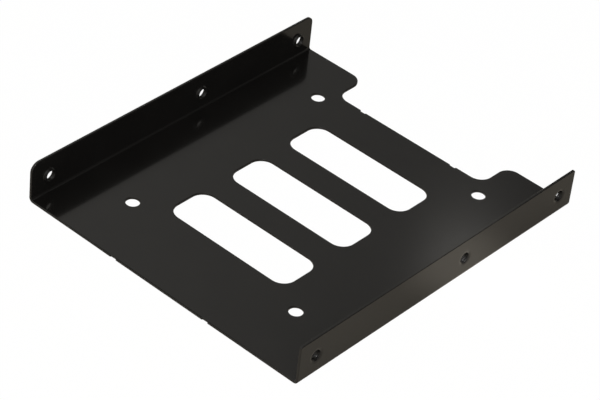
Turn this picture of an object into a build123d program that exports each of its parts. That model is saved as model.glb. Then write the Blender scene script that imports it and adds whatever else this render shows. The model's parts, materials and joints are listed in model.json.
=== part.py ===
# Drive bay adapter bracket: one folded sheet that carries a small drive in a larger bay.
# The origin is the centre of the small drive's screw pattern, on the underside of the sheet.
# X runs across the bay, +Y points to the connector end, +Z points up into the bracket.
# All sizes are in millimetres.

import os

from build123d import *

# Folded sheet
sheet_thickness = 0.8
bend_inside_radius = 0.65
overall_width = 101.0
flange_height = 12.7

# Screw pattern of the small drive, through the plate
drive_hole_pitch_across = 61.72
drive_hole_pitch_along = 76.6
drive_hole_diameter = 4.1
drive_holes_from_front = 20.75

# Three slots across the plate
slot_count = 3
slot_length = 44.1
slot_width = 14.45
slot_pitch = 23.88
slot_corner_radius = 4.25
first_slot_from_front = 32.64

# Recess for the connectors, between two ears
recess_width = 55.76
recess_depth = 11.8
recess_corner_radius = 4.0
ear_corner_radius = 4.0

# Shear nicks at both ends of the plate, where the blank was cut from its strip
nick_spacing = 34.5
nick_length = 2.0
front_nick_depth = 0.3
rear_nick_depth = 0.5
nick_corner_radius = 0.25
rear_shear_setback = 0.2

# Corners of the flanges, in side view
left_front_corner_radius = 3.0
left_rear_corner_radius = 2.3
right_corner_radius = 0.7

# Tapped holes in each flange, drawn inward by a punch
side_hole_from_front = 6.55
side_hole_middle_spacing = 60.0
side_hole_rear_spacing = 101.6
side_hole_from_rear = 6.05
side_hole_height = 6.35
tapped_hole_diameter = 2.65
collar_diameter = 4.2
collar_projection = 0.75
collar_foot_chamfer = 0.2
collar_rim_chamfer = 0.12
dish_diameter = 5.2
dish_depth = 0.1
mouth_diameter = 3.4
mouth_depth = 0.5
mouth_bulge = 0.1

# Edges and planes that follow from the sizes above
half_width = overall_width / 2
plate_length = side_hole_from_front + side_hole_rear_spacing + side_hole_from_rear
front_edge = -drive_hole_pitch_along / 2 - drive_holes_from_front
rear_edge = front_edge + plate_length
recess_edge = rear_edge - recess_depth
slots_middle = front_edge + first_slot_from_front + slot_pitch * (slot_count - 1) / 2
bend_outside_radius = bend_inside_radius + sheet_thickness
side_hole_places = [
    front_edge + side_hole_from_front + spacing
    for spacing in (0, side_hole_middle_spacing, side_hole_rear_spacing)
]

os.makedirs("parts", exist_ok=True)


def side_hole_planes(side):
    """Planes on one flange's outer face, at its holes, facing away from the bracket."""
    return [
        Plane(
            origin=(side * half_width, place, side_hole_height),
            x_dir=(0, side, 0),
            z_dir=(side, 0, 0),
        )
        for place in side_hole_places
    ]


# Collar that the punch draws out of the flange, standing on the inner face
with BuildPart() as collar:
    with BuildSketch(Plane.XZ) as collar_section:
        with BuildLine():
            collar_radius = collar_diameter / 2
            inner_face = -sheet_thickness
            rim = inner_face - collar_projection
            Polyline(
                (0, inner_face / 2),
                (0, rim),
                (collar_radius - collar_rim_chamfer, rim),
                (collar_radius, rim + collar_rim_chamfer),
                (collar_radius, inner_face - collar_foot_chamfer),
                (collar_radius + collar_foot_chamfer, inner_face),
                (collar_radius + collar_foot_chamfer, inner_face / 2),
                close=True,
            )
        make_face()
    revolve(axis=Axis.Z)

# Room that the punch leaves: a shallow dish, a rounded mouth and the bore through the collar
with BuildPart() as punched_room:
    with BuildSketch(Plane.XZ) as room_section:
        with BuildLine():
            bore_radius = tapped_hole_diameter / 2
            past_rim = -sheet_thickness - 2 * collar_projection
            mouth = SagittaArc(
                (mouth_diameter / 2, -dish_depth),
                (bore_radius, -mouth_depth),
                -mouth_bulge,
            )
            Polyline(
                mouth @ 1,
                (bore_radius, past_rim),
                (0, past_rim),
                (0, dish_depth),
                (dish_diameter / 2, dish_depth),
                (dish_diameter / 2, 0),
                mouth @ 0,
            )
        make_face()
    revolve(axis=Axis.Z)

with BuildPart() as bracket:
    # Channel folded from one strip: its section, drawn from the rear end to the front
    with BuildSketch(Plane.XZ.offset(-rear_edge)) as fold_section:
        with BuildLine():
            outside = FilletPolyline(
                (-half_width, flange_height),
                (-half_width, 0),
                (half_width, 0),
                (half_width, flange_height),
                radius=bend_outside_radius,
            )
            inner_half_width = half_width - sheet_thickness
            inside = FilletPolyline(
                (-inner_half_width, flange_height),
                (-inner_half_width, sheet_thickness),
                (inner_half_width, sheet_thickness),
                (inner_half_width, flange_height),
                radius=bend_inside_radius,
            )
            Line(outside @ 0, inside @ 0)
            Line(outside @ 1, inside @ 1)
        make_face()
    extrude(amount=plate_length)

    # Slots, drive holes, recess and shear nicks, all cut through the plate
    with BuildSketch() as plate_cuts:
        with Locations((0, slots_middle)):
            with GridLocations(0, slot_pitch, 1, slot_count):
                RectangleRounded(slot_length, slot_width, slot_corner_radius)
        with GridLocations(drive_hole_pitch_across, drive_hole_pitch_along, 2, 2):
            Circle(drive_hole_diameter / 2)
        with Locations((0, rear_edge)):
            Rectangle(recess_width, 2 * recess_depth)
        with Locations((0, recess_edge)):
            Rectangle(nick_spacing, 2 * rear_shear_setback)
        for edge, depth in ((front_edge, front_nick_depth), (recess_edge, rear_nick_depth)):
            with Locations((0, edge)):
                with GridLocations(nick_spacing, 0, 2, 1):
                    RectangleRounded(nick_length, 2 * depth, nick_corner_radius)
    extrude(amount=sheet_thickness, mode=Mode.SUBTRACT)

    # Rounded corners of the recess and of the ears beside it
    upright_edges = edges().filter_by(Axis.Z)
    half_recess = recess_width / 2
    fillet(
        [
            upright_edges.sort_by_distance((side * half_recess, recess_edge, 0))[0]
            for side in (-1, 1)
        ],
        radius=recess_corner_radius,
    )
    upright_edges = edges().filter_by(Axis.Z)
    fillet(
        [
            upright_edges.sort_by_distance((side * half_recess, rear_edge, 0))[0]
            for side in (-1, 1)
        ],
        radius=ear_corner_radius,
    )

    # Rounded upper corners of the flanges
    for side, end, radius in (
        (-1, front_edge, left_front_corner_radius),
        (-1, rear_edge, left_rear_corner_radius),
        (1, front_edge, right_corner_radius),
        (1, rear_edge, right_corner_radius),
    ):
        corner = edges().filter_by(Axis.X).sort_by_distance((side * half_width, end, flange_height))[0]
        fillet(corner, radius=radius)

    # Drawn and tapped holes along both flanges
    with Locations(side_hole_planes(-1) + side_hole_planes(1)):
        add(collar.part)
        add(punched_room.part, mode=Mode.SUBTRACT)

bracket.part.label = "bracket"
export_step(bracket.part, "parts/bracket.step")
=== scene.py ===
# Drive bay adapter bracket: the visual model, in metres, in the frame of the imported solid.
# +X runs across the bay, +Y points to the connector end and +Z up into the bracket.
# It models the folded sheet with its punched edges and its drawn and tapped holes,
# paints it and sets a plain studio around it.

import json
import math

import bmesh
import bpy
from mathutils import Matrix, Vector


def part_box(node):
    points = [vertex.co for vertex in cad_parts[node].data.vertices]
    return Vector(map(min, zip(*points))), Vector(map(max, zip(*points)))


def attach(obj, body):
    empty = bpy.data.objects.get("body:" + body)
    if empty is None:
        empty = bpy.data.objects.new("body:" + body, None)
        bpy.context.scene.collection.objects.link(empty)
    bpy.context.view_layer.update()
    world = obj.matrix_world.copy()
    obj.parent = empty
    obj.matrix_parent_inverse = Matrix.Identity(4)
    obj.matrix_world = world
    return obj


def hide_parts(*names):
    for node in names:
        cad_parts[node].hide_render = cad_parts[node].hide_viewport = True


bl_info = {
    "name": "Drive Bay Adapter Bracket",
    "version": (1, 0, 0),
    "blender": (4, 5, 0),
    "location": "3D View > Sidebar > Bracket",
    "description": "Models, paints and lights a folded drive bay adapter bracket",
    "category": "Add Mesh",
}

MM = 0.001
RIGHT_ANGLE = math.pi / 2
FULL_TURN = 2 * math.pi
WELD_DISTANCE = 0.001 * MM
SEAM_DISTANCE = 0.01 * MM

# Fineness of the curves
COLLAR_SEGMENTS = 48
DRIVE_HOLE_SEGMENTS = 48
CORNER_SEGMENTS = 12
NICK_SEGMENTS = 3
EDGE_SEGMENTS = 3
FOLD_STEPS = 10

# An edge that turns more than this angle was punched, and a face this close to an axis is flat
PUNCHED_ANGLE = math.radians(50)
FLAT_FACE = math.cos(math.radians(0.1))

# Slots, and the feet of the nicks among the points of a nicked edge
SLOT_COUNT = 3
NICK_FEET = (2, 3, 6, 7)

# Profile of a drawn hole from its dish to its rim, mostly in shares of its own sizes
DISH_STEPS = 4
DISH_FALL = (0.45, 0.85, 1.3)
MOUTH_STEPS = ((0.06 * MM, 0.6), (0.15 * MM, 0.96))
THREAD_END = 0.5
THREAD_LIP = 0.02 * MM
RIM_LIP = 0.4
ROUND_SHARE = 0.3

# Turns of thread drawn beyond its length before it is cut level, and where the first one starts
SPARE_TURNS = 2
TURNS_BEFORE = 1.5

# Patches and grain of the paint, and its soft border at the threads
PATCH_SIZE = 14 * MM
PATCH_STOPS = ((0.3, 0.0), (0.75, 1.0))
PATCH_SHARE = 0.6
GRAIN_SIZE = 2.5 * MM
GRAIN_SHARE = 0.4
THREAD_BORDER = 0.1 * MM

# Floor, just under the bracket, and how near a surface has to be to see through it
FLOOR_GAP = 0.02 * MM
FLOOR_REACH = 5 * FLOOR_GAP
FLOOR_SIZE = 3.0
WHITE_STRENGTH = 1.02

# Lamps, and the pool of light on the floor beside the right flange
MIDDLE = (0, 0, 0)
KEY_PLACE = (0.42, -0.40, 0.36)
KEY_SIZE = (0.5, 0.5)
SPARK_PLACE = (0.30, -0.39, 0.50)
SPARK_SIZE = (0.05, 0.05)
OVERHEAD_PLACE = (0.1, -0.7, 0.95)
OVERHEAD_SIZE = (0.8, 0.8)
SPOT_PLACE = (0.42, 0.12, 0.5)
SPOT_BULB_RADIUS = 0.008
POOL_MIDDLE = (0.0564, 0.0115, 0)
POOL_RADIUS = 0.0190
POOL_SOFTNESS = 0.8

# Sides of the room with the borders where they fade out, and its small far window
LIGHT_SIDE = (-0.539, -0.842, 0)
LIGHT_SIDE_BORDER = (-0.55, -0.05)
UPWARD = (0, 0, 1)
UPPER_BORDER = (0.25, 0.45)
RIGHTWARD = (1, 0, 0)
RIGHT_BORDER = (0.35, 0.6)
WINDOW_DIRECTION = Vector((-0.4333, 0.6505, 0.6239)).normalized()
WINDOW_RADIUS = math.radians(1.1)

# Camera
SENSOR_WIDTH = 36.0

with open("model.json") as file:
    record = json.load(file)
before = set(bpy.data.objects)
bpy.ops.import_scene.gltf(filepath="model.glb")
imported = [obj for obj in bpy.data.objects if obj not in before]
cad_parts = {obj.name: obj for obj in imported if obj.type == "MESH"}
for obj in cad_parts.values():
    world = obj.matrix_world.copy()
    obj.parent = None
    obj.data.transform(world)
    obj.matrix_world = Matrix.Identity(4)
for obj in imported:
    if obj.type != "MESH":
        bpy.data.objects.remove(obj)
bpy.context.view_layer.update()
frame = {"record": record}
sheet_low, sheet_high = (Vector(corner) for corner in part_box("bracket"))
mounts = {mount["name"]: mount for mount in frame["record"]["mounts"]}
drive_pattern = mounts["drive_holes"]["dims"]
tapped_holes = [
    Vector(mount["pos_m"]) for mount in mounts.values() if mount["kind"] == "threaded_hole"
]


def length(name, millimetres, description):
    """A length of the bracket, stated in millimetres and kept in metres."""
    return bpy.props.FloatProperty(
        name=name,
        description=description,
        default=millimetres * MM,
        min=0,
        precision=5,
        unit="LENGTH",
    )


class SheetSizes(bpy.types.PropertyGroup):
    """Sizes of the folded sheet and of what is punched out of it."""

    thickness: length("Thickness", 0.8, "Thickness of the painted sheet")
    bend_inside_radius: length("Bend radius", 0.65, "Inside radius of both folds")
    edge_rounding: length("Edge rounding", 0.18, "Roll of the punched edges under the paint")
    slot_length: length("Slot length", 44.1, "Length of each slot across the plate")
    slot_width: length("Slot width", 14.45, "Width of each slot")
    slot_pitch: length("Slot pitch", 23.88, "Distance from one slot to the next")
    slot_corner_radius: length("Slot corner radius", 4.25, "Corner radius of the slots")
    first_slot_from_front: length("First slot", 32.64, "Middle of the first slot, from the front")
    recess_width: length("Recess width", 55.76, "Width of the connector recess")
    recess_depth: length("Recess depth", 11.8, "Depth of the recess, from the ears")
    recess_corner_radius: length("Recess corner radius", 4.0, "Inner corners of the recess")
    ear_corner_radius: length("Ear corner radius", 4.0, "Outer corners of the two ears")
    nick_spacing: length("Nick spacing", 34.5, "Distance between the two nicks of an edge")
    nick_length: length("Nick length", 2.0, "Length of a shear nick along the edge")
    front_nick_depth: length("Front nick depth", 0.3, "Depth of the nicks in the front edge")
    rear_nick_depth: length("Rear nick depth", 0.5, "Depth of the nicks in the recess")
    nick_corner_radius: length("Nick corner radius", 0.25, "Rounding at the foot of a nick")
    shear_setback: length("Shear setback", 0.2, "Step of the recess edge between its nicks")
    left_front_corner_radius: length("Left front corner", 3.0, "Left flange, front corner")
    left_rear_corner_radius: length("Left rear corner", 2.3, "Left flange, rear corner")
    right_corner_radius: length("Right corners", 0.7, "Right flange, both corners")


class TappedHoleSizes(bpy.types.PropertyGroup):
    """Sizes of the holes that are drawn inward out of the flanges and tapped."""

    dish_diameter: length("Dish diameter", 5.2, "Shallow dish that the punch leaves outside")
    dish_depth: length("Dish depth", 0.1, "Depth of the dish")
    mouth_diameter: length("Mouth diameter", 3.4, "Rounded mouth inside the dish")
    mouth_depth: length("Mouth depth", 0.40, "Depth at which the mouth meets the thread")
    major_diameter: length("Major diameter", 3.4, "Diameter at the root of the thread")
    minor_diameter: length("Minor diameter", 2.65, "Diameter at the crest of the thread")
    thread_pitch: length("Thread pitch", 0.794, "Pitch of the thread")
    thread_crest: length("Thread crest", 0.14, "Width of the flat on the crest")
    thread_root: length("Thread root", 0.08, "Width of the flat at the root")
    collar_diameter: length("Collar diameter", 4.2, "Outside of the drawn collar")
    collar_projection: length("Collar projection", 0.75, "Height of the collar")
    collar_foot: length("Collar foot", 0.2, "Fillet where the collar leaves the sheet")
    collar_rim: length("Collar rim", 0.12, "Rounding of the collar's rim")


class PaintLook(bpy.types.PropertyGroup):
    """Colour and surface of the black paint."""

    color: bpy.props.FloatVectorProperty(
        name="Colour",
        description="Colour of the paint film",
        subtype="COLOR",
        size=3,
        min=0,
        max=1,
        default=(0.0064, 0.0060, 0.0056),
    )
    shade_variation: bpy.props.FloatProperty(
        name="Shade variation",
        description="Share by which the film is lighter where it is thin",
        subtype="FACTOR",
        min=0,
        max=1,
        default=0.3,
    )
    roughness: bpy.props.FloatProperty(
        name="Roughness",
        description="Roughness of the cured film",
        subtype="FACTOR",
        min=0,
        max=1,
        default=0.09,
    )
    roughness_variation: bpy.props.FloatProperty(
        name="Roughness variation",
        description="How much duller the film is in patches",
        subtype="FACTOR",
        min=0,
        max=1,
        default=0.03,
    )
    thread_roughness: bpy.props.FloatProperty(
        name="Roughness in threads",
        description="Roughness of the film on the turns of the threads",
        subtype="FACTOR",
        min=0,
        max=1,
        default=0.33,
    )
    haze: bpy.props.FloatProperty(
        name="Haze",
        description="Share of the soft sheen that lies over the sharp one",
        subtype="FACTOR",
        min=0,
        max=1,
        default=0.36,
    )
    haze_roughness: bpy.props.FloatProperty(
        name="Haze roughness",
        description="Roughness of the soft sheen",
        subtype="FACTOR",
        min=0,
        max=1,
        default=0.22,
    )
    peel_size: length("Orange peel size", 0.9, "Size of the ripples in the film")
    peel_height: length("Orange peel height", 0.0003, "Height of the ripples in the film")
    wave_size: length("Wave size", 24.0, "Length of the long waves in the sheet")
    wave_height: length("Wave height", 0.012, "Height of the long waves in the sheet")


class Studio(bpy.types.PropertyGroup):
    """Camera, lamps and floor."""

    camera_place: bpy.props.FloatVectorProperty(
        name="Camera",
        description="Place of the camera",
        subtype="TRANSLATION",
        default=(0.34917, -0.44107, 0.43401),
        precision=5,
    )
    camera_aim: bpy.props.FloatVectorProperty(
        name="Aim",
        description="Point in the middle of the picture",
        subtype="TRANSLATION",
        default=(-0.00153, -0.00142, 0.0),
        precision=5,
    )
    camera_roll: bpy.props.FloatProperty(
        name="Roll",
        description="Turn of the camera about its own line of sight",
        subtype="ANGLE",
        default=math.radians(6.6),
    )
    camera_lens: bpy.props.FloatProperty(
        name="Lens",
        description="Focal length",
        unit="CAMERA",
        default=152.1,
    )
    floor_color: bpy.props.FloatVectorProperty(
        name="Floor",
        description="Colour of the floor",
        subtype="COLOR",
        size=3,
        min=0,
        max=1,
        default=(0.395, 0.362, 0.308),
    )
    background_share: bpy.props.FloatProperty(
        name="White background",
        description="Share of plain white in the floor as the camera sees it",
        subtype="FACTOR",
        min=0,
        max=1,
        default=0.97,
    )
    room_color: bpy.props.FloatVectorProperty(
        name="Dim side of the room",
        description="Light that the room sends back from behind the bracket",
        subtype="COLOR",
        size=3,
        min=0,
        max=1,
        default=(0.03, 0.0295, 0.028),
    )
    wall_color: bpy.props.FloatVectorProperty(
        name="Light side of the room",
        description="Light that the room sends back from the left and the front",
        subtype="COLOR",
        size=3,
        min=0,
        max=1,
        default=(0.41, 0.399, 0.375),
    )
    window_strength: bpy.props.FloatProperty(
        name="Far window",
        description="Brightness of the small far window that the plate mirrors",
        min=0,
        default=9.0,
    )
    key_power: bpy.props.FloatProperty(
        name="Key lamp",
        description="Power of the large soft lamp beside the camera",
        unit="POWER",
        default=3.4,
    )
    spark_power: bpy.props.FloatProperty(
        name="Spark power",
        description="Power of the small lamp that glints on the rounded edges",
        unit="POWER",
        min=0,
        default=0.3,
    )
    overhead_power: bpy.props.FloatProperty(
        name="Overhead lamp",
        description="Power of the large soft lamp high in front of the bracket",
        unit="POWER",
        default=0.7,
    )
    pool_power: bpy.props.FloatProperty(
        name="Spot lamp",
        description="Power of the spot lamp on the floor beside the right flange",
        unit="POWER",
        default=11.5,
    )


class Value:
    """A shader socket that takes part in plain arithmetic."""

    def __init__(self, tree, socket):
        self.tree = tree
        self.socket = socket

    def _math(self, operation, first, second):
        return self.tree.node("ShaderNodeMath", {"operation": operation}, {0: first, 1: second})

    def __add__(self, other):
        return self._math("ADD", self, other)

    def __radd__(self, other):
        return self._math("ADD", other, self)

    def __sub__(self, other):
        return self._math("SUBTRACT", self, other)

    def __rsub__(self, other):
        return self._math("SUBTRACT", other, self)

    def __mul__(self, other):
        return self._math("MULTIPLY", self, other)

    def __rmul__(self, other):
        return self._math("MULTIPLY", other, self)

    def least(self, other):
        return self._math("MINIMUM", self, other)

    def greatest(self, other):
        return self._math("MAXIMUM", self, other)

    def absolute(self):
        return self.tree.node("ShaderNodeMath", {"operation": "ABSOLUTE"}, {0: self})

    def root(self):
        return self.tree.node("ShaderNodeMath", {"operation": "SQRT"}, {0: self})


class Tree:
    """The node tree of a material or of the world, cleared and ready to be filled."""

    def __init__(self, owner):
        owner.use_nodes = True
        self.nodes = owner.node_tree.nodes
        self.links = owner.node_tree.links
        self.nodes.clear()

    def node(self, kind, settings=None, inputs=None, output=0):
        """Adds a node, sets it up and returns one of its outputs."""
        made = self.nodes.new(kind)
        for name, value in (settings or {}).items():
            if name == "stops":
                self._set_stops(made.color_ramp, value)
            else:
                setattr(made, name, value)
        for name, value in (inputs or {}).items():
            if isinstance(value, Value):
                self.links.new(value.socket, made.inputs[name])
            else:
                made.inputs[name].default_value = value
        return Value(self, made.outputs[output]) if made.outputs else None

    def _set_stops(self, ramp, stops):
        for place, (position, level) in enumerate(stops):
            stop = ramp.elements[place] if place < 2 else ramp.elements.new(position)
            stop.position = position
            stop.color = (level, level, level, 1)


def black_paint(look, thread_radius):
    """Semi-gloss black paint, baked on sheet steel."""
    material = bpy.data.materials.new("black_paint_film")
    tree = Tree(material)
    place = tree.node("ShaderNodeTexCoord", output="Object")

    def noise(size, detail):
        return tree.node(
            "ShaderNodeTexNoise",
            {"noise_dimensions": "3D"},
            {"Vector": place, "Scale": 1 / size, "Detail": detail, "Roughness": 0.5},
        )

    patches = noise(PATCH_SIZE, detail=3.0)
    thin_film = tree.node("ShaderNodeValToRGB", {"stops": PATCH_STOPS}, {"Fac": patches})
    thick = (*look.color, 1)
    thin = (*(channel * (1 + look.shade_variation) for channel in look.color), 1)
    color = tree.node(
        "ShaderNodeMix",
        {"data_type": "RGBA"},
        {"Factor": thin_film, 6: thick, 7: thin},
        output=2,
    )
    grain = noise(GRAIN_SIZE, detail=4.0)
    dullness = patches * PATCH_SHARE + grain * GRAIN_SHARE
    film = look.roughness + look.roughness_variation * dullness

    separate = {"Vector": place}
    along = tree.node("ShaderNodeSeparateXYZ", None, separate, output="Y")
    upward = tree.node("ShaderNodeSeparateXYZ", None, separate, output="Z")
    rows = sorted({round(hole.y, 6) for hole in tapped_holes})
    nearest = (along - rows[0]).absolute()
    for row in rows[1:]:
        nearest = nearest.least((along - row).absolute())
    drop = upward - tapped_holes[0].z
    from_axis = (nearest * nearest + drop * drop).root()
    in_thread = tree.node(
        "ShaderNodeMapRange",
        {"interpolation_type": "SMOOTHSTEP"},
        {
            "Value": from_axis,
            "From Min": thread_radius + THREAD_BORDER,
            "From Max": thread_radius - THREAD_BORDER,
        },
    )
    roughness = film + (look.thread_roughness - film) * in_thread

    waves = noise(look.wave_size, detail=1.0)
    peel = noise(look.peel_size, detail=1.5)
    height = waves * look.wave_height + peel * look.peel_height
    normal = tree.node(
        "ShaderNodeBump", None, {"Height": height, "Strength": 1.0, "Distance": 1.0}
    )
    surface = tree.node(
        "ShaderNodeBsdfPrincipled",
        None,
        {
            "Base Color": color,
            "Roughness": roughness,
            "Coat Weight": look.haze * (1 - in_thread),
            "Coat Roughness": look.haze_roughness,
            "Normal": normal,
        },
    )
    tree.node("ShaderNodeOutputMaterial", None, {"Surface": surface})
    return material


def flatten_normals(mesh):
    """Shades the flat faces of the sheet flat, right up to the edges that are rolled over."""
    facing = [{} for vert in mesh.vertices]
    for face in mesh.polygons:
        if max(abs(part) for part in face.normal) > FLAT_FACE:
            way = tuple(round(part) for part in face.normal)
            for place in face.vertices:
                facing[place][way] = facing[place].get(way, 0) + face.area
    normals = [vert.normal.copy() for vert in mesh.vertices]
    for place, areas in enumerate(facing):
        if areas:
            normals[place] = Vector(max(areas, key=areas.get))
    mesh.normals_split_custom_set_from_vertices(normals)


def finish_piece(bm, name, look, thread_radius):
    """Turns a bmesh into a painted piece that rides with the bracket."""
    bmesh.ops.recalc_face_normals(bm, faces=bm.faces)
    for face in bm.faces:
        face.smooth = True
    mesh = bpy.data.meshes.new(name)
    bm.to_mesh(mesh)
    bm.free()
    flatten_normals(mesh)
    mesh.materials.append(black_paint(look, thread_radius))
    piece = bpy.data.objects.new(name, mesh)
    bpy.context.scene.collection.objects.link(piece)
    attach(piece, "root")
    return piece


def join(bm, part, matrix):
    """Moves a part into place and adds it to a mesh in the making."""
    part.transform(matrix)
    carrier = bpy.data.meshes.new("carrier")
    part.to_mesh(carrier)
    part.free()
    bm.from_mesh(carrier)
    bpy.data.meshes.remove(carrier)


def round_corners(bm, corners, radius, segments):
    """Rounds corners of a flat outline."""
    bmesh.ops.bevel(
        bm,
        geom=corners,
        offset=radius,
        offset_type="OFFSET",
        affect="VERTICES",
        segments=segments,
        profile=0.5,
        material=-1,
    )


def add_outline(bm, corners):
    """Draws a closed flat outline and returns its corners."""
    points = [bm.verts.new((x, y, 0)) for x, y in corners]
    bm.faces.new(points)
    return points


def add_rectangle(bm, middle, size, radius, segments):
    """Draws a rectangle with rounded corners."""
    x, y = middle
    across, along = size[0] / 2, size[1] / 2
    points = add_outline(
        bm,
        (
            (x - across, y - along),
            (x + across, y - along),
            (x + across, y + along),
            (x - across, y + along),
        ),
    )
    round_corners(bm, points, radius, segments)


def add_circle(bm, middle, radius, segments):
    """Draws a round hole."""
    bmesh.ops.create_circle(
        bm,
        cap_ends=True,
        radius=radius,
        segments=segments,
        matrix=Matrix.Translation((*middle, 0)),
    )


def cut_blank(bm, thickness):
    """Fills the outlines, less the holes in them, and gives the blank its thickness."""
    bmesh.ops.delete(bm, geom=bm.faces[:], context="FACES_ONLY")
    bmesh.ops.triangle_fill(bm, use_beauty=True, edges=bm.edges[:])
    grown = bmesh.ops.extrude_face_region(bm, geom=bm.faces[:])
    moved = [item for item in grown["geom"] if isinstance(item, bmesh.types.BMVert)]
    bmesh.ops.translate(bm, verts=moved, vec=(0, 0, thickness))


def nicked_edge(start, end, level, step, inward, nick_depth, sizes):
    """Points of a sheared edge, with a nick at both ends of its middle stretch."""
    half_spacing = sizes.nick_spacing / 2
    half_length = sizes.nick_length / 2
    way = 1 if end > start else -1
    outer = half_spacing + half_length
    inner = half_spacing - half_length
    floor = level + inward * nick_depth
    middle = level + inward * step
    return (
        (start, level),
        (-way * outer, level),
        (-way * outer, floor),
        (-way * inner, floor),
        (-way * inner, middle),
        (way * inner, middle),
        (way * inner, floor),
        (way * outer, floor),
        (way * outer, level),
        (end, level),
    )


def plate_blank(sizes):
    """The flat plate between the two folds, with its slots, holes, recess and nicks."""
    bm = bmesh.new()
    fold_line = sheet_high.x - sizes.bend_inside_radius - sizes.thickness
    front, rear = sheet_low.y, sheet_high.y
    recess = rear - sizes.recess_depth
    half_recess = sizes.recess_width / 2
    front_run = nicked_edge(
        -fold_line, fold_line, front, 0.0, 1, sizes.front_nick_depth, sizes
    )
    rear_run = nicked_edge(
        half_recess, -half_recess, recess, sizes.shear_setback, -1, sizes.rear_nick_depth, sizes
    )
    ears = ((fold_line, rear), (half_recess, rear))
    other_ears = ((-half_recess, rear), (-fold_line, rear))
    points = add_outline(bm, (*front_run, *ears, *rear_run, *other_ears))
    rear_start = len(front_run) + len(ears)
    nick_feet = [points[place] for place in NICK_FEET]
    nick_feet += [points[rear_start + place] for place in NICK_FEET]
    recess_feet = [points[rear_start], points[rear_start + len(rear_run) - 1]]
    ear_corners = [points[rear_start - 1], points[rear_start + len(rear_run)]]
    round_corners(bm, nick_feet, sizes.nick_corner_radius, NICK_SEGMENTS)
    round_corners(bm, recess_feet, sizes.recess_corner_radius, CORNER_SEGMENTS)
    round_corners(bm, ear_corners, sizes.ear_corner_radius, CORNER_SEGMENTS)

    for count in range(SLOT_COUNT):
        middle = (0, front + sizes.first_slot_from_front + count * sizes.slot_pitch)
        size = (sizes.slot_length, sizes.slot_width)
        add_rectangle(bm, middle, size, sizes.slot_corner_radius, CORNER_SEGMENTS)
    hole_radius = drive_pattern["hole_r_mm"] * MM
    for x in (-drive_pattern["spacing_x_mm"] / 2, drive_pattern["spacing_x_mm"] / 2):
        for y in (-drive_pattern["spacing_y_mm"] / 2, drive_pattern["spacing_y_mm"] / 2):
            add_circle(bm, (x * MM, y * MM), hole_radius, DRIVE_HOLE_SEGMENTS)
    cut_blank(bm, sizes.thickness)
    return bm, fold_line


def fold_up(bm, side, fold_line, sizes):
    """Rolls one side of the plate up through a right angle."""
    outside_radius = sizes.bend_inside_radius + sizes.thickness
    rim = [
        face
        for face in bm.faces
        if all(abs(vert.co.x - side * fold_line) < WELD_DISTANCE for vert in face.verts)
    ]
    strip = rim + list({edge for face in rim for edge in face.edges})
    strip += list({vert for face in rim for vert in face.verts})
    rolled = bmesh.ops.spin(
        bm,
        geom=strip,
        cent=(side * fold_line, 0, outside_radius),
        axis=(0, 1, 0),
        angle=-side * RIGHT_ANGLE,
        steps=FOLD_STEPS,
    )
    ends = [item for item in rolled["geom_last"] if isinstance(item, bmesh.types.BMFace)]
    bmesh.ops.delete(bm, geom=ends, context="FACES_ONLY")


def flange_blank(side, sizes, holes):
    """One flange above its fold, flat, with open holes for the collars."""
    bm = bmesh.new()
    front, rear = sheet_low.y, sheet_high.y
    foot = sizes.bend_inside_radius + sizes.thickness
    top = sheet_high.z
    points = add_outline(bm, ((front, foot), (rear, foot), (rear, top), (front, top)))
    if side < 0:
        front_radius = sizes.left_front_corner_radius
        rear_radius = sizes.left_rear_corner_radius
    else:
        front_radius = rear_radius = sizes.right_corner_radius
    rear_corner, front_corner = points[2:]
    round_corners(bm, [front_corner], front_radius, CORNER_SEGMENTS)
    round_corners(bm, [rear_corner], rear_radius, CORNER_SEGMENTS)
    middles = [Vector((hole.y, hole.z, 0)) for hole in tapped_holes if hole.x * side > 0]
    dish_radius = holes.dish_diameter / 2
    for middle in middles:
        add_circle(bm, middle.xy, dish_radius, COLLAR_SEGMENTS)
    cut_blank(bm, sizes.thickness)

    foot_radius = holes.collar_diameter / 2 + holes.collar_foot
    shrink = foot_radius / dish_radius
    for middle in middles:

        def on_wall(vert):
            return abs((vert.co.xy - middle.xy).length - dish_radius) < WELD_DISTANCE

        walls = [face for face in bm.faces if all(on_wall(vert) for vert in face.verts)]
        inner_rim = list({vert for face in walls for vert in face.verts if vert.co.z > 0})
        bmesh.ops.delete(bm, geom=walls, context="FACES_ONLY")
        bmesh.ops.scale(
            bm, verts=inner_rim, vec=(shrink, shrink, 1), space=Matrix.Translation(-middle)
        )
    underside = [
        face
        for face in bm.faces
        if all(abs(vert.co.y - foot) < WELD_DISTANCE for vert in face.verts)
    ]
    bmesh.ops.delete(bm, geom=underside, context="FACES_ONLY")
    return bm


def hole_frame(hole, depth=0.0):
    """A frame on a flange's outer face at a hole, whose Z runs into the bracket."""
    side = math.copysign(1, hole.x)
    middle = Vector((side * (sheet_high.x - depth), hole.y, hole.z))
    return Matrix.Translation(middle) @ Matrix.Rotation(-side * RIGHT_ANGLE, 4, "Y")


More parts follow.
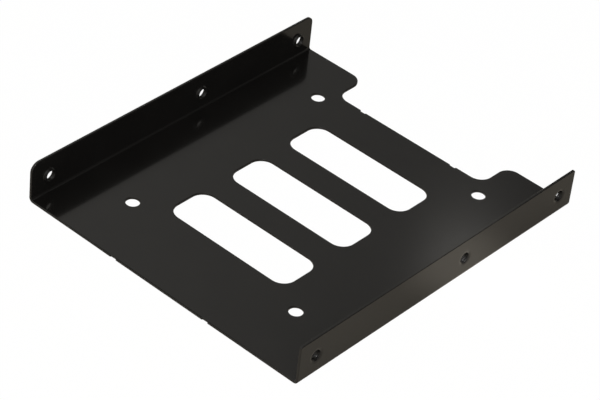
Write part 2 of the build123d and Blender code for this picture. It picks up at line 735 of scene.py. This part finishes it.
def thread_surface(bottom, top, holes):
    """The helical wall of a tapped bore around Z, cut level at both ends."""
    bm = bmesh.new()
    crest_radius, root_radius = holes.minor_diameter / 2, holes.major_diameter / 2
    half_crest, half_root = holes.thread_crest / 2, holes.thread_root / 2
    pitch = holes.thread_pitch
    turns = math.ceil((top - bottom) / pitch) + SPARE_TURNS
    section = []
    for turn in range(turns):
        crest = bottom + (turn - TURNS_BEFORE) * pitch
        root = crest + pitch / 2
        section += [
            (crest_radius, crest - half_crest),
            (crest_radius, crest + half_crest),
            (root_radius, root - half_root),
            (root_radius, root + half_root),
        ]
    add_section(bm, section)
    bmesh.ops.spin(
        bm,
        geom=bm.verts[:] + bm.edges[:],
        cent=(0, 0, 0),
        axis=(0, 0, 1),
        dvec=(0, 0, pitch / COLLAR_SEGMENTS),
        angle=FULL_TURN,
        steps=COLLAR_SEGMENTS,
    )
    bmesh.ops.remove_doubles(bm, verts=bm.verts, dist=WELD_DISTANCE)
    for level, way in ((bottom, -1), (top, 1)):
        bmesh.ops.bisect_plane(
            bm,
            geom=bm.verts[:] + bm.edges[:] + bm.faces[:],
            dist=WELD_DISTANCE,
            plane_co=(0, 0, level),
            plane_no=(0, 0, way),
            clear_outer=True,
        )
    return bm


def add_section(bm, section):
    """Draws an open section, given as pairs of radius and height."""
    points = [bm.verts.new((radius, 0, height)) for radius, height in section]
    for first, second in zip(points, points[1:]):
        bm.edges.new((first, second))


def turned(section):
    """Turns an open section around Z."""
    bm = bmesh.new()
    add_section(bm, section)
    bmesh.ops.spin(
        bm,
        geom=bm.verts[:] + bm.edges[:],
        cent=(0, 0, 0),
        axis=(0, 0, 1),
        angle=FULL_TURN,
        steps=COLLAR_SEGMENTS,
        use_merge=True,
    )
    return bm


def open_edges(bm, fits):
    """The open edges that fit a test at both ends."""
    return [
        edge
        for edge in bm.edges
        if edge.is_boundary and all(fits(vert.co) for vert in edge.verts)
    ]


def collar(sizes, holes):
    """A drawn and tapped collar from its dish to its foot, open where it meets the flange."""
    dish_radius = holes.dish_diameter / 2
    mouth_radius = holes.mouth_diameter / 2
    outer_radius = holes.collar_diameter / 2
    wall_start = holes.mouth_depth
    rim_height = sizes.thickness + holes.collar_projection
    rim = holes.collar_rim
    wall_end = rim_height - THREAD_END * rim
    foot = holes.collar_foot
    dish_slope = (dish_radius - mouth_radius) / DISH_STEPS
    dish_radii = (dish_radius - dish_slope, dish_radius - 2 * dish_slope, mouth_radius)
    mouth = (
        *((radius, holes.dish_depth * fall) for radius, fall in zip(dish_radii, DISH_FALL)),
        *((mouth_radius - inward, wall_start * share) for inward, share in MOUTH_STEPS),
    )
    outside = (
        (holes.major_diameter / 2, rim_height - THREAD_LIP),
        (holes.major_diameter / 2 + RIM_LIP * rim, rim_height),
        (outer_radius - rim, rim_height),
        (outer_radius - ROUND_SHARE * rim, rim_height - ROUND_SHARE * rim),
        (outer_radius, rim_height - rim),
        (outer_radius, sizes.thickness + foot),
        (outer_radius + ROUND_SHARE * foot, sizes.thickness + ROUND_SHARE * foot),
    )
    bm = turned(mouth)
    join(bm, turned(outside), Matrix.Identity(4))
    join(bm, thread_surface(wall_start, wall_end, holes), Matrix.Identity(4))
    for levels in ((wall_start, mouth[-1][1]), (wall_end, outside[0][1])):

        def on_either(place):
            return any(abs(place.z - level) < WELD_DISTANCE for level in levels)

        bmesh.ops.bridge_loops(bm, edges=open_edges(bm, on_either))
    return bm


def round_sheet_edges(bm, sizes):
    """Rolls over every punched edge, as the punch and the paint leave it."""
    sharp = [
        edge
        for edge in bm.edges
        if edge.is_manifold and edge.calc_face_angle() > PUNCHED_ANGLE
    ]
    bmesh.ops.bevel(
        bm,
        geom=sharp,
        offset=sizes.edge_rounding,
        offset_type="OFFSET",
        affect="EDGES",
        segments=EDGE_SEGMENTS,
        profile=0.5,
        material=-1,
        clamp_overlap=False,
    )


def close_seam(bm, level, radius, near):
    """Joins a collar to one face of its flange, around a frame that lies on this face."""
    middle, axis = level.translation, level.col[2].xyz

    def on_seam(place):
        reach = place - middle
        return abs(reach.dot(axis)) < near and reach.length < radius + SEAM_DISTANCE

    bmesh.ops.bridge_loops(bm, edges=open_edges(bm, on_seam))


class BRACKET_OT_fold_sheet(bpy.types.Operator):
    """Punch and fold the sheet, with the collars of its side holes"""

    bl_idname = "bracket.fold_sheet"
    bl_label = "Fold the sheet"

    def execute(self, context):
        scene = context.scene
        sizes, holes, look = scene.sheet_sizes, scene.hole_sizes, scene.paint_look
        bm, fold_line = plate_blank(sizes)
        for side in (-1, 1):
            fold_up(bm, side, fold_line, sizes)
            stand = Matrix(
                (
                    (0, 0, -side, side * sheet_high.x),
                    (1, 0, 0, 0),
                    (0, 1, 0, 0),
                    (0, 0, 0, 1),
                )
            )
            join(bm, flange_blank(side, sizes, holes), stand)
        bmesh.ops.remove_doubles(bm, verts=bm.verts, dist=WELD_DISTANCE)
        bmesh.ops.recalc_face_normals(bm, faces=bm.faces)
        round_sheet_edges(bm, sizes)

        dish_radius = holes.dish_diameter / 2
        foot_radius = holes.collar_diameter / 2 + holes.collar_foot
        for hole in tapped_holes:
            outer, inner = hole_frame(hole), hole_frame(hole, sizes.thickness)
            join(bm, collar(sizes, holes), outer)
            close_seam(bm, outer, dish_radius, sizes.thickness / 2)
            close_seam(bm, inner, foot_radius, sizes.thickness / 2)
        piece = finish_piece(bm, "folded_sheet", look, holes.major_diameter / 2)
        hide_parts("bracket")
        return {"FINISHED"}


def white_floor(studio):
    """A pale floor that the camera sees as white, clear from below and right under the sheet."""
    material = bpy.data.materials.new("white_floor")
    tree = Tree(material)
    camera_ray = tree.node("ShaderNodeLightPath", output="Is Camera Ray")
    matt = tree.node(
        "ShaderNodeBsdfDiffuse", None, {"Color": (*studio.floor_color, 1), "Roughness": 0.0}
    )
    white = tree.node(
        "ShaderNodeEmission", None, {"Color": (1, 1, 1, 1), "Strength": WHITE_STRENGTH}
    )
    upper = tree.node(
        "ShaderNodeMixShader",
        None,
        {0: camera_ray * studio.background_share, 1: matt, 2: white},
    )
    below = tree.node("ShaderNodeNewGeometry", output="Backfacing")
    reach = tree.node("ShaderNodeLightPath", output="Ray Length")
    touching = tree.node("ShaderNodeMath", {"operation": "LESS_THAN"}, {0: reach, 1: FLOOR_REACH})
    clear = tree.node("ShaderNodeBsdfTransparent", None, {"Color": (1, 1, 1, 1)})
    surface = tree.node(
        "ShaderNodeMixShader", None, {0: below.greatest(touching), 1: upper, 2: clear}
    )
    tree.node("ShaderNodeOutputMaterial", None, {"Surface": surface})
    return material


def soft_lamp(name, place, size, power):
    """A rectangular area lamp, turned to face the middle of the bracket."""
    data = bpy.data.lights.new(name, "AREA")
    data.shape = "RECTANGLE"
    data.size, data.size_y = size
    data.energy = power
    lamp = bpy.data.objects.new(name, data)
    bpy.context.scene.collection.objects.link(lamp)
    turn = (Vector(MIDDLE) - Vector(place)).to_track_quat("-Z", "Y")
    lamp.matrix_world = Matrix.Translation(place) @ turn.to_matrix().to_4x4()
    return lamp


def spot_lamp(name, place, aim, radius, power):
    """A spot lamp whose soft round pool of light has a given radius."""
    data = bpy.data.lights.new(name, "SPOT")
    reach = Vector(aim) - Vector(place)
    data.spot_size = 2 * math.atan(radius / reach.length)
    data.spot_blend = POOL_SOFTNESS
    data.shadow_soft_size = SPOT_BULB_RADIUS
    data.energy = power
    lamp = bpy.data.objects.new(name, data)
    bpy.context.scene.collection.objects.link(lamp)
    turn = reach.to_track_quat("-Z", "Y")
    lamp.matrix_world = Matrix.Translation(place) @ turn.to_matrix().to_4x4()
    return lamp


class BRACKET_OT_set_stage(bpy.types.Operator):
    """Set the floor, the lamps, the room and the camera"""

    bl_idname = "bracket.set_stage"
    bl_label = "Set the stage"

    def execute(self, context):
        scene = context.scene
        studio = scene.studio
        scene.view_settings.view_transform = "Standard"

        bm = bmesh.new()
        level = Matrix.Translation((0, 0, -FLOOR_GAP))
        bmesh.ops.create_grid(bm, x_segments=1, y_segments=1, size=FLOOR_SIZE, matrix=level)
        mesh = bpy.data.meshes.new("floor")
        bm.to_mesh(mesh)
        bm.free()
        mesh.materials.append(white_floor(studio))
        floor = bpy.data.objects.new("floor", mesh)
        scene.collection.objects.link(floor)

        key = soft_lamp("key", KEY_PLACE, KEY_SIZE, studio.key_power)
        key.visible_glossy = False
        soft_lamp("spark", SPARK_PLACE, SPARK_SIZE, studio.spark_power)
        soft_lamp("overhead", OVERHEAD_PLACE, OVERHEAD_SIZE, studio.overhead_power)
        spot_lamp("spot", SPOT_PLACE, POOL_MIDDLE, POOL_RADIUS, studio.pool_power)

        world = bpy.data.worlds.new("room")
        scene.world = world
        tree = Tree(world)
        camera_ray = tree.node("ShaderNodeLightPath", output="Is Camera Ray")
        direction = tree.node("ShaderNodeTexCoord", output="Generated")

        def along(axis):
            return tree.node(
                "ShaderNodeVectorMath",
                {"operation": "DOT_PRODUCT"},
                {0: direction, 1: axis},
                output=1,
            )

        def ramp(value, low, high):
            return tree.node(
                "ShaderNodeMapRange",
                {"interpolation_type": "SMOOTHSTEP"},
                {"Value": value, "From Min": low, "From Max": high},
            )

        light_side = ramp(along(LIGHT_SIDE), *LIGHT_SIDE_BORDER)
        upper_side = ramp(along(UPWARD), *UPPER_BORDER)
        right_side = ramp(along(RIGHTWARD), *RIGHT_BORDER)
        dark_side = (1 - light_side) * upper_side.greatest(right_side)
        window = ramp(along(WINDOW_DIRECTION), math.cos(WINDOW_RADIUS), 1.0)
        light = tree.node(
            "ShaderNodeMix",
            {"data_type": "RGBA"},
            {"Factor": dark_side, 6: (*studio.wall_color, 1), 7: (*studio.room_color, 1)},
            output=2,
        )
        strength = 1 + studio.window_strength * window
        room = tree.node("ShaderNodeBackground", None, {"Color": light, "Strength": strength})
        white = tree.node(
            "ShaderNodeBackground", None, {"Color": (1, 1, 1, 1), "Strength": 1.0}
        )
        surface = tree.node("ShaderNodeMixShader", None, {0: camera_ray, 1: room, 2: white})
        tree.node("ShaderNodeOutputWorld", None, {"Surface": surface})

        data = bpy.data.cameras.new("camera")
        data.lens = studio.camera_lens
        data.sensor_width = SENSOR_WIDTH
        camera = bpy.data.objects.new("camera", data)
        scene.collection.objects.link(camera)
        sight = Vector(studio.camera_aim) - Vector(studio.camera_place)
        turn = sight.to_track_quat("-Z", "Y").to_matrix().to_4x4()
        camera.matrix_world = (
            Matrix.Translation(studio.camera_place)
            @ turn
            @ Matrix.Rotation(studio.camera_roll, 4, "Z")
        )
        scene.camera = camera
        return {"FINISHED"}


class BRACKET_PT_sidebar(bpy.types.Panel):
    """Sizes, colours and steps of the bracket"""

    bl_label = "Drive bay adapter bracket"
    bl_idname = "BRACKET_PT_sidebar"
    bl_space_type = "VIEW_3D"
    bl_region_type = "UI"
    bl_category = "Bracket"

    def draw(self, context):
        for title, group, operators in (
            ("Sheet", "sheet_sizes", ("bracket.fold_sheet",)),
            ("Side holes", "hole_sizes", ()),
            ("Paint", "paint_look", ()),
            ("Studio", "studio", ("bracket.set_stage",)),
        ):
            box = self.layout.box()
            box.label(text=title)
            settings = getattr(context.scene, group)
            for name in settings.__annotations__:
                box.prop(settings, name)
            for operator in operators:
                box.operator(operator)


PROPERTY_GROUPS = {
    "sheet_sizes": SheetSizes,
    "hole_sizes": TappedHoleSizes,
    "paint_look": PaintLook,
    "studio": Studio,
}
CLASSES = (
    *PROPERTY_GROUPS.values(),
    BRACKET_OT_fold_sheet,
    BRACKET_OT_set_stage,
    BRACKET_PT_sidebar,
)


def register():
    for item in CLASSES:
        bpy.utils.register_class(item)
    for name, group in PROPERTY_GROUPS.items():
        setattr(bpy.types.Scene, name, bpy.props.PointerProperty(type=group))


def unregister():
    for name in PROPERTY_GROUPS:
        delattr(bpy.types.Scene, name)
    for item in reversed(CLASSES):
        bpy.utils.unregister_class(item)


def main():
    register()
    bpy.ops.bracket.fold_sheet()
    bpy.ops.bracket.set_stage()


if __name__ == "__main__":
    main()
